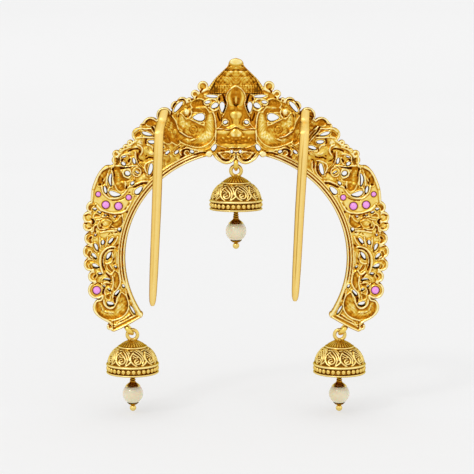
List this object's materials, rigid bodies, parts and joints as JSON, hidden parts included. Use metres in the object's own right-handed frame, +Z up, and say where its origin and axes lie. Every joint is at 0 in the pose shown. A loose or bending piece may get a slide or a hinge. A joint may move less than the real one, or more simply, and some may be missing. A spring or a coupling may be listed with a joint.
{
  "type": "hair brooch",
  "caption": "Horseshoe hair brooch: pierced gold arch of peacocks and vines with a roofed figure, flat hair pins behind, pink stones, and bell drops with pearls.",
  "frame": {"origin": "midway between the two hair pins, in their mid-plane, a little above half of their length", "axes": "+Z up along the brooch's height, +Y out of its ornamental front, +X to the right seen from behind, where the pins are"},
  "size_m": [0.0702, 0.0131, 0.0817],
  "materials": {
    "arch_gold": "antique gold casting, bright on its rims and dark orange in its hollows",
    "pin_gold": "polished pale gold",
    "bell_gold": "antique gold, darkened between the scrolls",
    "pink_stone": "smooth opaque pink",
    "pearl": "soft cream lustre"
  },
  "bodies": {
    "brooch": {"arch": "arch_gold", "pin_left": "pin_gold", "pin_right": "pin_gold", "stone_left_1": "pink_stone", "stone_left_2": "pink_stone", "stone_left_3": "pink_stone", "stone_left_4": "pink_stone", "stone_left_5": "pink_stone", "stone_right_1": "pink_stone", "stone_right_2": "pink_stone", "stone_right_3": "pink_stone", "stone_right_4": "pink_stone", "stone_right_5": "pink_stone"},
    "drop_mid": {"bell_mid": "bell_gold", "pearl_pin_mid": "bell_gold", "pearl_cap_mid": "bell_gold", "pearl_mid": "pearl", "pearl_cup_mid": "bell_gold"},
    "drop_left": {"bell_left": "bell_gold", "pearl_pin_left": "bell_gold", "pearl_cap_left": "bell_gold", "pearl_left": "pearl", "pearl_cup_left": "bell_gold"},
    "drop_right": {"bell_right": "bell_gold", "pearl_pin_right": "bell_gold", "pearl_cap_right": "bell_gold", "pearl_right": "pearl", "pearl_cup_right": "bell_gold"}
  },
  "joints": [
    {"name": "drop_mid_swing", "type": "hinge", "parent": "brooch", "child": "drop_mid", "pos_m": [0, 0.0064, 0.00915], "axis": [0, 1, 0], "range_deg": [-40, 40]},
    {"name": "drop_left_swing", "type": "hinge", "parent": "brooch", "child": "drop_left", "pos_m": [-0.024, 0.0064, -0.02891], "axis": [0, 1, 0], "range_deg": [-40, 40]},
    {"name": "drop_right_swing", "type": "hinge", "parent": "brooch", "child": "drop_right", "pos_m": [0.024, 0.0064, -0.02891], "axis": [0, 1, 0], "range_deg": [-40, 40]}
  ]
}
